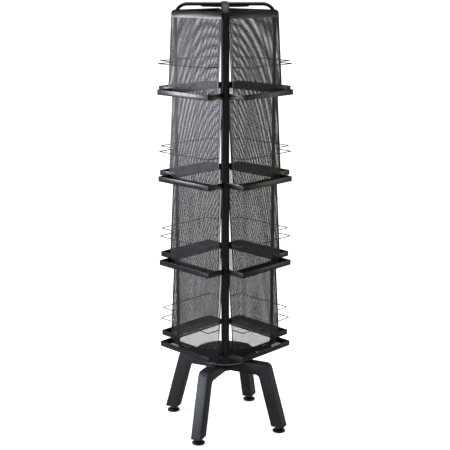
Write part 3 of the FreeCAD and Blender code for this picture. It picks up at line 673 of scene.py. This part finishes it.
def grow(name, tree, values, data=None):
    """Runs a tree on some data, a mesh or a curve, and returns the result as a plain mesh."""
    holder = bpy.data.objects.new(name, data or bpy.data.meshes.new(name))
    bpy.context.scene.collection.objects.link(holder)
    modifier = holder.modifiers.new(tree.name, "NODES")
    modifier.node_group = tree
    for item in tree.interface.items_tree:
        if item.item_type == "SOCKET" and item.in_out == "INPUT" and item.name in values:
            modifier[item.identifier] = values[item.name]
    mesh = settle(holder)
    mesh.name = name
    bpy.data.objects.remove(holder)
    return mesh


# The strand and pitch are guesses: a weave that can just be made out, with the share of open area that lets
# about as much light through as the real panels do. The real weave is probably finer.
MESH_PITCH = 2.6
STRAND = 0.88
STRAND_THICK = 0.45
FLOOR_INSET = 3.0
LEVEL_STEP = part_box("tray_tier1_side1")[0][2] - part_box("tray_tier2_side1")[0][2]
for name, tier, levels in (("mesh_top_tier", 1, 1), ("mesh_lower_tiers", 4, 3)):
    foot, length, lean = lean_of(tier)
    band = TOP_BAND if tier == 1 else HEM_WIDE
    sheet = grow(name, mesh_tree, {
        "Width": (2 * MESH_HALF - HEM_WIDE) * MM,
        "Length": (length - band) * MM,
        "Pitch": MESH_PITCH * MM,
        "Strand width": STRAND * MM,
        "Strand thickness": STRAND_THICK * MM,
        "Foot radius": (foot.x - HEM_WIDE / 2 * math.sin(lean)) * MM,
        "Foot height": (foot.z + HEM_WIDE / 2 * math.cos(lean)) * MM,
        "Tilt": math.pi / 2 - lean,
        "Levels": levels,
        "Level step": LEVEL_STEP,
        "Finish": MESH_COAT,
    })
    hand_over(name, sheet, MESH_COAT, "tower")
floor_mesh = grow("mesh_tray_floors", mesh_tree, {
    "Width": 2 * (TRAY_HALF - FLOOR_INSET) * MM,
    "Length": (TRAY_FRONT - REAR_FACE - 2 * FLOOR_INSET) * MM,
    "Pitch": MESH_PITCH * MM,
    "Strand width": STRAND * MM,
    "Strand thickness": STRAND_THICK * MM,
    "Foot radius": (REAR_FACE + FLOOR_INSET) * MM,
    "Foot height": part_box("tray_tier4_side1")[0][2] + (SHEET + STRAND_THICK / 2) * MM,
    "Tilt": math.pi,
    "Levels": 4,
    "Level step": LEVEL_STEP,
    "Finish": MESH_COAT,
})
hand_over("mesh_tray_floors", floor_mesh, MESH_COAT, "tower")

# %% [markdown]
# A thin wire rail keeps the literature from falling forward. Each one is a single wire with two bends,
# welded to the sides of its mesh back. A curve gives the four corners, and a tree rounds them, sweeps a
# round section and repeats the rail on every tier and side.

# %% The wire rails
rail_low, rail_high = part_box("wire_rails")
RAIL_WIRE = 3.6
RAIL_BEND = 9.0
rail_tree, given = new_tree("bent_rail", [
    ("Wire", "NodeSocketFloat"), ("Bend", "NodeSocketFloat"),
] + LEVEL_SOCKETS)
soft = add_node(rail_tree, "GeometryNodeFilletCurve",
                {"Curve": given["Geometry"], "Count": 8, "Radius": given["Bend"]}, mode="POLY").outputs[0]
half_wire = compute(rail_tree, "MULTIPLY", given["Wire"], 0.5)
round_section = add_node(rail_tree, "GeometryNodeCurvePrimitiveCircle",
                         {"Resolution": 12, "Radius": half_wire}).outputs[0]
bar = add_node(rail_tree, "GeometryNodeCurveToMesh",
               {"Curve": soft, "Profile Curve": round_section, "Fill Caps": True}).outputs[0]
close_tree(rail_tree, spread(rail_tree, bar, given), given)

rail_z = rail_low[2] / MM + RAIL_WIRE / 2
rail_out = rail_high[0] / MM - RAIL_WIRE / 2
rail_side = TRAY_HALF - RAIL_WIRE / 2
foot, length, lean = lean_of(4)
rail_back = foot.x - (rail_z - foot.z) * math.tan(lean)
rail_curve = bpy.data.curves.new("rail_line", "CURVE")
rail_curve.dimensions = "3D"
line = rail_curve.splines.new("POLY")
line.points.add(3)
for point, (x, y) in zip(line.points, ((rail_back, -rail_side), (rail_out, -rail_side), (rail_out, rail_side),
                                       (rail_back, rail_side))):
    point.co = (x * MM, y * MM, rail_z * MM, 1)
rails = grow("wire_rails_bent", rail_tree, {"Wire": RAIL_WIRE * MM, "Bend": RAIL_BEND * MM, "Levels": 4,
                                           "Level step": LEVEL_STEP, "Finish": WIRE_COAT}, rail_curve)
hand_over("wire_rails_bent", rails, WIRE_COAT, "tower", ["wire_rails"])

# %% [markdown]
# Fasteners and bearing balls stand in circles, so one tree puts a given shape round a circle as many times
# as asked. The disc screws are button heads with a hexagon socket, the hub bolts plain hexagon heads with a
# chamfered top.

# %% Screws, bolts and balls
circle_tree, given = new_tree("round_a_circle", [
    ("Count", "NodeSocketInt"), ("Ring radius", "NodeSocketFloat"), ("Start angle", "NodeSocketFloat"),
    ("Height", "NodeSocketFloat"), ("Finish", "NodeSocketMaterial")])
seats = add_node(circle_tree, "GeometryNodeMeshLine",
                 {"Count": given["Count"], "Offset": (0, 0, 0)}).outputs[0]
index = add_node(circle_tree, "GeometryNodeInputIndex").outputs[0]
share = compute(circle_tree, "DIVIDE", compute(circle_tree, "MULTIPLY", index, 2 * math.pi), given["Count"])
turn = add_node(circle_tree, "ShaderNodeCombineXYZ",
                {"Z": compute(circle_tree, "ADD", share, given["Start angle"])}).outputs[0]
out = add_node(circle_tree, "ShaderNodeCombineXYZ",
               {"X": given["Ring radius"], "Z": given["Height"]}).outputs[0]
shifted = add_node(circle_tree, "GeometryNodeTransform",
                   {"Geometry": given["Geometry"], "Translation": out}).outputs[0]
ringed = add_node(circle_tree, "GeometryNodeInstanceOnPoints",
                  {"Points": seats, "Instance": shifted, "Rotation": turn}).outputs[0]
close_tree(circle_tree, ringed, given)


def button_screw(length):
    """A button-head screw, its seat at height 0: dome, hexagon socket and shank."""
    return turned([
        (0, -length), (2.0, -length), (2.5, -length + 0.6), (2.5, 0), (4.75, 0), (4.75, 0.5), (4.3, 1.4),
        (3.4, 2.2), (2.6, 2.6), (1.75, 2.75), (1.5, 2.7, True), (1.5, 1.2, True), (0, 0.9),
    ], segments=24)


def hexagon_bolt(shank, length, flats, head, segments=24):
    """A hexagon bolt that points up, its seat at height 0 and its head below."""
    half = flats / 2
    return turned([
        (0, -head), (half * 0.9, -head), (half, -head + 0.6, True), (half, -0.3, True), (half * 0.98, 0),
        (shank, 0), (shank, length - 0.8), (shank - 0.8, length), (0, length),
    ], segments=segments)


def ring_of(name, shapes, finish, body, nodes):
    """Joins circles of fasteners into one piece: each entry is (shape, count, ring radius, start, height)."""
    whole = bmesh.new()
    for shape, count, radius, start, height in shapes:
        part = grow(name, circle_tree, {"Count": count, "Ring radius": radius * MM, "Start angle": start,
                                        "Height": height * MM, "Finish": finish}, merged([shape], name))
        whole.from_mesh(part)
    mesh = bpy.data.meshes.new(name)
    whole.to_mesh(mesh)
    whole.free()
    return hand_over(name, mesh, finish, body, nodes)


SCREW_LENGTH = 18.0
SCREW_RINGS = (41.0, 69.0)
HUB_BOLT_RINGS = (46.0, 80.0)
BALL_RING = 81.5
screw_top = ARM_Z + TUBE_THICK / 2
ring_of("disc_screw_ring", [(button_screw(SCREW_LENGTH), 4, radius, math.pi / 4, screw_top)
                            for radius in SCREW_RINGS], ZINC, "tower", ["disc_screws"])

LEG_TURN = math.radians(18.7)
bolt_low, bolt_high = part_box("hub_bolts")
HUB_BOLT_HEAD = 5.3
seat = bolt_low[2] / MM + HUB_BOLT_HEAD
bolt_length = bolt_high[2] / MM - seat
ring_of("hub_bolt_ring", [(hexagon_bolt(4.0, bolt_length, 13.0, HUB_BOLT_HEAD), 4, radius, LEG_TURN, seat)
                          for radius in HUB_BOLT_RINGS], ZINC, "base", ["hub_bolts"])

ball_low, ball_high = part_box("bearing_balls")
BALL_WIDE = (ball_high[2] - ball_low[2]) / MM
BALL_COUNT = 36
ball = bmesh.new()
bmesh.ops.create_icosphere(ball, subdivisions=3, radius=BALL_WIDE / 2 * MM)
ring_of("bearing_ball_ring", [(ball, BALL_COUNT, BALL_RING, 0.0, (ball_low[2] + ball_high[2]) / 2 / MM)],
        BALL_STEEL, "ball_ring", ["bearing_balls"])

# %% [markdown]
# The centre bolt, its nut and its washers hold the tower down on its bearing. They are turned parts with
# hexagon rings where a spanner goes.

# %% The pivot
pivot_low, pivot_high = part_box("pivot_bolt")
PIVOT_HEAD = 7.56
pivot_seat = pivot_low[2] / MM + PIVOT_HEAD
pivot_bolt = hexagon_bolt(6.0, pivot_high[2] / MM - pivot_seat, 18.0, PIVOT_HEAD, 48)
pivot_mesh = merged([pivot_bolt], "pivot_bolt_forged")
pivot_mesh.transform(Matrix.Translation((0, 0, pivot_seat * MM)))
hand_over("pivot_bolt_forged", pivot_mesh, ZINC, "base", ["pivot_bolt"])

nut_low, nut_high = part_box("pivot_nut")
NUT = (nut_high[2] - nut_low[2]) / MM
nut = turned([(BOLT_HOLE, 0), (8.6, 0), (9.0, 0.5, True), (9.0, NUT - 0.5, True), (8.6, NUT),
              (BOLT_HOLE, NUT)], (0, 0, nut_low[2]))
hand_over("pivot_nut_forged", merged([nut], "pivot_nut_forged"), ZINC, "base", ["pivot_nut"])


def washer(node, finish, bore=6.1):
    low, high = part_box(node)
    edge = (high[0] - low[0]) / 2 / MM
    thick = (high[2] - low[2]) / MM
    ring = turned([(bore, 0), (edge - 0.3, 0), (edge, 0.3), (edge, thick - 0.3), (edge - 0.3, thick),
                   (bore, thick)], (0, 0, low[2]))
    hand_over(node + "_turned", merged([ring], node + "_turned"), finish, "base", [node])


washer("pivot_washer", NYLON)
washer("hub_washer", ZINC)

# %% [markdown]
# The two bearing plates and the hub plate keep their CAD shapes, which are right as they are. They only get
# their finishes.

# %% Finishes on the CAD nodes
for node, finish in (("lower_bearing_plate", ZINC), ("upper_bearing_plate", ZINC),
                     ("hub_plate", POWDER_COAT)):
    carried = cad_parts[node]
    for number in range(len(carried.material_slots)):
        carried.material_slots[number].material = finish
    print(node, "finished as", finish.name)

# %% [markdown]
# Each leg is a box, taken to be folded and welded from 2.5 mm sheet: a level arm, a rounded shoulder and a
# leaning leg. Its side view is one outline with two rounded corners, pushed out to the width of the leg,
# and a bevel gives the fold radius along every edge.

# %% The legs
LEG_TOP = 275.0
LEG_UNDER = 228.0
LEG_BOTTOM = 22.0
LEG_INNER = 24.0
LEG_OUT = 264.5
LEG_THICK = 50.0
LEG_WIDTH = 42.0
SHOULDER = 24.0
CROOK = 16.0
FOLD = 2.6
LEAN = math.radians(15.5)


def corner_arc(before, corner, after, radius, steps=10):
    """Replaces a corner of an outline by an arc that is tangent to both sides."""
    corner = Vector(corner)
    back = (Vector(before) - corner).normalized()
    ahead = (Vector(after) - corner).normalized()
    half = back.angle(ahead) / 2
    reach = radius / math.tan(half)
    centre = corner + (back + ahead).normalized() * (radius / math.sin(half))
    start = corner + back * reach - centre
    finish = corner + ahead * reach - centre
    sweep = start.angle_signed(finish)
    return [tuple(centre + Matrix.Rotation(-sweep * step / steps, 2) @ start) for step in range(steps + 1)]


thick_level = LEG_THICK / math.cos(LEAN)
out_at_top = LEG_OUT - (LEG_TOP - LEG_BOTTOM) * math.tan(LEAN)
in_at_under = LEG_OUT - (LEG_UNDER - LEG_BOTTOM) * math.tan(LEAN) - thick_level
foot_in = (LEG_OUT - thick_level, LEG_BOTTOM)
foot_out = (LEG_OUT, LEG_BOTTOM)
leg_outline = [(LEG_INNER, LEG_UNDER)]
leg_outline += corner_arc((LEG_INNER, LEG_UNDER), (in_at_under, LEG_UNDER), foot_in, CROOK)
leg_outline += [foot_in, foot_out]
leg_outline += corner_arc(foot_out, (out_at_top, LEG_TOP), (LEG_INNER, LEG_TOP), SHOULDER)
leg_outline += [(LEG_INNER, LEG_TOP)]
leg_mesh = rounded(merged([prism(leg_outline, LEG_WIDTH, UPRIGHT)], "leg"), FOLD, 4)
for number, letter in enumerate("abcd"):
    own = leg_mesh.copy()
    own.transform(Matrix.Rotation(LEG_TURN + number * math.pi / 2, 4, "Z"))
    hand_over(f"leg_{letter}_folded", own, LEG_COAT_PAINTED_SHEEN, "base", [f"leg_{letter}"])

# %% [markdown]
# A levelling glide is a moulded pad with a steel stem that turns in it. The stem has a hexagon for the
# spanner and an M10 thread, 1.5 mm pitch, that screws into the leg. A real thread is a helix, so it is made
# as one: a row of points climbs while it goes round, with the radius going in and out once each turn.

# %% The glides
THREAD_OUT = 4.95
THREAD_IN = 4.1
THREAD_PITCH = 1.5
THREAD_STEPS = 20


def threaded_rod(low, high, centre):
    """A closed rod with a helical thread between two heights, in millimetres."""
    shape = bmesh.new()
    rows = int((high - low) / THREAD_PITCH * 4)
    loops = []
    for row in range(rows + 1):
        loop = []
        for step in range(THREAD_STEPS):
            angle = 2 * math.pi * step / THREAD_STEPS
            height = low + (high - low) * row / rows
            turn = (height - low) / THREAD_PITCH - step / THREAD_STEPS
            depth = abs((turn % 1.0) - 0.5) * 2
            radius = THREAD_IN + (THREAD_OUT - THREAD_IN) * depth
            loop.append(shape.verts.new((centre[0] + radius * MM * math.cos(angle),
                                         centre[1] + radius * MM * math.sin(angle), height * MM)))
        loops.append(loop)
    for lower, upper in zip(loops, loops[1:]):
        for step in range(THREAD_STEPS):
            after = (step + 1) % THREAD_STEPS
            shape.faces.new((lower[step], lower[after], upper[after], upper[step]))
    shape.faces.new(reversed(loops[0]))
    shape.faces.new(loops[-1])
    bmesh.ops.recalc_face_normals(shape, faces=shape.faces)
    return shape


for letter in "abcd":
    low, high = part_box(f"glide_pad_{letter}")
    centre = ((low[0] + high[0]) / 2, (low[1] + high[1]) / 2, low[2])
    pad = turned([
        (0, 0), (23.0, 0), (24.4, 0.5), (25.0, 1.6), (25.0, 4.6), (24.5, 5.6), (22.5, 6.6), (18.0, 8.0),
        (12.5, 10.2), (10.0, 11.8), (9.0, 12.5), (6.0, 12.5), (4.55, 12.1), (4.55, 6.0), (0, 6.0),
    ], centre, 64)
    hand_over(f"glide_pad_{letter}_moulded", merged([pad], f"glide_pad_{letter}_moulded"), GLIDE_PLASTIC,
              f"glide_{letter}", [f"glide_pad_{letter}"])
    stem_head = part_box(f"glide_stem_{letter}")[1][2] / MM
    ball_end = turned([(0, 6.05), (4.2, 6.05), (4.5, 6.4), (4.5, 13.4), (0, 13.4)], centre, 24)
    collar = turned([(0, 12.8), (6.3, 12.8), (7.0, 13.3, True), (7.0, 17.3, True), (6.3, 17.8), (0, 17.8)],
                    centre, 36)
    rod = threaded_rod(17.0, stem_head, centre)
    stem = merged([ball_end, collar, rod], f"glide_stem_{letter}_cut")
    hand_over(f"glide_stem_{letter}_cut", stem, ZINC, f"stem_{letter}",
              [f"glide_stem_{letter}"])

# %% [markdown]
# The trays are welded to the posts at their rear corners, and the half hoops to the whole hoop at the top.
# A weld bead is a row of small overlapping ripples, so a tree sets flattened balls closely along the weld
# lines.

# %% The weld beads
bead_tree, given = new_tree("weld_bead", [("Step", "NodeSocketFloat"), ("Bead", "NodeSocketFloat"),
                                          ("Finish", "NodeSocketMaterial")])
beads = add_node(bead_tree, "GeometryNodeCurveToPoints",
                 {"Curve": given["Geometry"], "Length": given["Step"]}, mode="LENGTH").outputs["Points"]
ripple = add_node(bead_tree, "GeometryNodeMeshUVSphere",
                  {"Segments": 8, "Rings": 5, "Radius": given["Bead"]}).outputs[0]
wobble = add_node(bead_tree, "FunctionNodeRandomValue",
                  {2: 0.9, 3: 1.08, "Seed": 7}, data_type="FLOAT").outputs[1]
laid = add_node(bead_tree, "GeometryNodeInstanceOnPoints",
                {"Points": beads, "Instance": ripple, "Scale": wobble}).outputs[0]
close_tree(bead_tree, laid, given)

bead_curve = bpy.data.curves.new("weld_lines", "CURVE")
bead_curve.dimensions = "3D"


def weld_line(points):
    spline = bead_curve.splines.new("POLY")
    spline.points.add(len(points) - 1)
    for point, place in zip(spline.points, points):
        point.co = (*place, 1)


for tier in TIERS:
    low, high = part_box(f"tray_tier{tier}_side1")
    for side in SIDES:
        for sign in (1, -1):
            corner = side_turn(side) @ Vector((LIP_REAR * MM - 0.0008, sign * (TRAY_HALF - 0.1) * MM, 0))
            weld_line([(corner.x, corner.y, low[2] + 0.003), (corner.x, corner.y, high[2] - 0.004)])
for degrees in (45, 225):
    turn = Matrix.Rotation(math.radians(degrees), 4, "Z")
    rim = [turn @ Vector(((TUBE_WIDE / 2 + 0.4) * MM, u * MM, TOP_Z * MM + v * MM))
           for u, v in flat_oval(TUBE_WIDE - 0.6, TUBE_THICK - 0.6)]
    weld_line(rim[:-1])
BEAD = 1.5
bead_mesh = grow("weld_beads", bead_tree,
                 {"Step": BEAD * MM, "Bead": BEAD * MM, "Finish": POWDER_COAT}, bead_curve)
hand_over("weld_beads", bead_mesh, POWDER_COAT, "tower")

# %% [markdown]
# The rack stands on a plain pale floor. A very soft light from overhead makes the floor even. Two cool soft
# boxes stand to the left of the viewer: a high one gives the front walls of the trays their sheen, and a
# low one does the same for the leg in front. A weak warm one on the right keeps that side readable. The
# background and the floor are shown to the camera as nearly white, with a little glow of its own on the
# floor, while the rest of the scene meets a dim world and a mid-grey floor, as in a dark studio. So the
# rack casts hardly any shadow that can be seen, as in a picture with its background cut away.

# %% Floor, lights and world
floor_material, tree, place = new_finish("pale_studio_floor")
floor_seen = add_node(tree, "ShaderNodeLightPath").outputs["Is Camera Ray"]
floor_tone = blend_colours(tree, between(tree, noise(tree, place, 900.0), 0.0, 1.0), "f3f3f2", "f6f6f6")
floor_colour = add_node(tree, "ShaderNodeMix",
                        {0: floor_seen, 6: linear("7c7c7c"), 7: floor_tone}, data_type="RGBA")
floor_shader = add_node(tree, "ShaderNodeBsdfPrincipled", {
    "Base Color": floor_colour.outputs[2],
    "Roughness": between(tree, noise(tree, place, 300.0), 0.85, 0.95),
    "Emission Color": floor_tone,
    "Emission Strength": compute(tree, "MULTIPLY", floor_seen, 0.6),
})
close_finish(tree, floor_shader)
floor_mesh = bpy.data.meshes.new("studio_floor")
FLOOR_REACH = 40.0
floor_corners = [(x * FLOOR_REACH, y * FLOOR_REACH, 0) for x, y in ((-1, -1), (1, -1), (1, 1), (-1, 1))]
floor_mesh.from_pydata(floor_corners, [], [(0, 1, 2, 3)])
floor_mesh.materials.append(floor_material)
floor = bpy.data.objects.new("studio_floor", floor_mesh)
bpy.context.scene.collection.objects.link(floor)


def aim(thing, place, target):
    thing.location = place
    thing.rotation_euler = (Vector(target) - Vector(place)).to_track_quat("-Z", "Y").to_euler()
    bpy.context.scene.collection.objects.link(thing)


def soft_box(name, azimuth, distance, height, wide, tall, radiance, colour, target_height):
    """A soft box: azimuth in degrees from +X, radiance in watts per square metre and steradian."""
    lamp = bpy.data.lights.new(name, "AREA")
    lamp.shape = "RECTANGLE"
    lamp.size = wide
    lamp.size_y = tall
    lamp.energy = radiance * math.pi * wide * tall
    lamp.color = linear(colour)[:3]
    angle = math.radians(azimuth)
    aim(bpy.data.objects.new(name, lamp), (distance * math.cos(angle), distance * math.sin(angle), height),
        (0, 0, target_height))


overhead = bpy.data.lights.new("overhead", "SUN")
overhead.energy = 2.6
overhead.angle = math.radians(80)
aim(bpy.data.objects.new("overhead", overhead), (0, 0, 4), (0.0, 0.05, 0))
soft_box("left_box", azimuth=-129, distance=2.2, height=1.3, wide=1.0, tall=0.7, radiance=20.0,
         colour="eef2ff", target_height=1.3)
soft_box("low_left_box", azimuth=-97, distance=2.6, height=0.55, wide=1.1, tall=1.0, radiance=5.5,
         colour="e8eeff", target_height=0.5)
soft_box("right_box", azimuth=46, distance=3.2, height=0.9, wide=1.4, tall=1.8, radiance=1.4,
         colour="fff3dc", target_height=0.8)

world = bpy.data.worlds.new("studio")
world.use_nodes = True
world.node_tree.nodes.clear()
seen = add_node(world.node_tree, "ShaderNodeLightPath").outputs["Is Camera Ray"]
dim = add_node(world.node_tree, "ShaderNodeBackground", {"Color": linear("e8ecf2"), "Strength": 0.25})
white = add_node(world.node_tree, "ShaderNodeBackground", {"Color": linear("ffffff"), "Strength": 1.05})
mixed = add_node(world.node_tree, "ShaderNodeMixShader",
                 {0: seen, 1: dim.outputs[0], 2: white.outputs[0]})
add_node(world.node_tree, "ShaderNodeOutputWorld", {"Surface": mixed.outputs[0]})
bpy.context.scene.world = world
bpy.context.scene.view_settings.view_transform = "Standard"

# %% [markdown]
# The camera is a long lens about four metres away, a little above the rack, looking slightly down on one of
# its corners.

# %% Camera
CAMERA_AZIMUTH = math.radians(44.35)
CAMERA_DISTANCE = 4.0025
CAMERA_HEIGHT = 1.7976
CAMERA_DIP = 12.75
camera = bpy.data.cameras.new("camera")
camera.sensor_width = 36.0
camera.lens = 84.26
camera.shift_y = -0.04
camera.clip_end = 200.0
viewer = bpy.data.objects.new("camera", camera)
viewer.location = (CAMERA_DISTANCE * math.sin(CAMERA_AZIMUTH), -CAMERA_DISTANCE * math.cos(CAMERA_AZIMUTH),
                   CAMERA_HEIGHT)
viewer.rotation_euler = (math.radians(90 - CAMERA_DIP), 0, CAMERA_AZIMUTH)
bpy.context.scene.collection.objects.link(viewer)
bpy.context.scene.camera = viewer
print("camera", [round(v, 3) for v in viewer.location])
